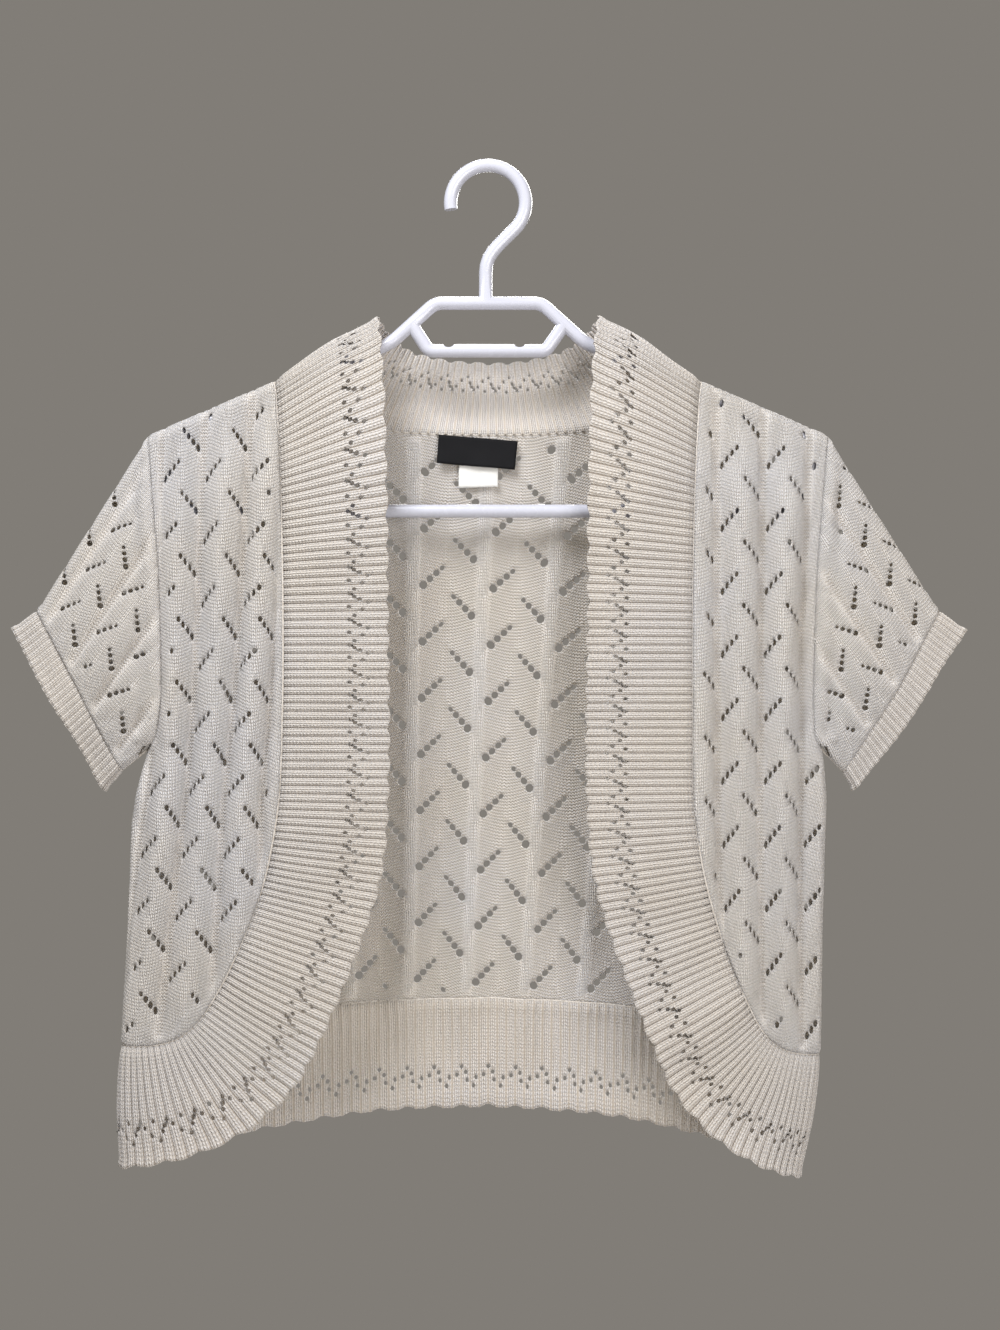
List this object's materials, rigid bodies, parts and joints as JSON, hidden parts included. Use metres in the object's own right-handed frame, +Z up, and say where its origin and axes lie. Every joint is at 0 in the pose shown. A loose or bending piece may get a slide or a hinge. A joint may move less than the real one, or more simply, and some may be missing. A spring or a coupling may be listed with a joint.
{
  "type": "knitted shrug on a hanger",
  "caption": "Open-front lace knit shrug with short sleeves and a ribbed, scalloped band round neck, fronts and hem, hanging on a white plastic hanger.",
  "frame": {"origin": "the inside top of the hanger's hook, where it hangs on a rod or ring", "axes": "+Z up, the fronts face -Y and the back +Y, X along the hanger; the hanger lies in the plane y = 0"},
  "size_m": [0.6108, 0.065, 0.6509],
  "materials": {
    "knit": "soft matte knitted cotton, ivory",
    "label_white": "thin woven satin tape, white",
    "label_black": "close woven tape, black",
    "hanger_plastic": "smooth gloss plastic, cool white"
  },
  "bodies": {
    "root": {"back_panel": "knit", "front_left": "knit", "front_right": "knit", "sleeve_left_front": "knit", "sleeve_left_back": "knit", "sleeve_right_front": "knit", "sleeve_right_back": "knit", "cuff_left": "knit", "cuff_right": "knit", "front_neck_band": "knit", "back_hem_band": "knit", "care_label": "label_white", "neck_label": "label_black", "hanger": "hanger_plastic"}
  },
  "joints": []
}
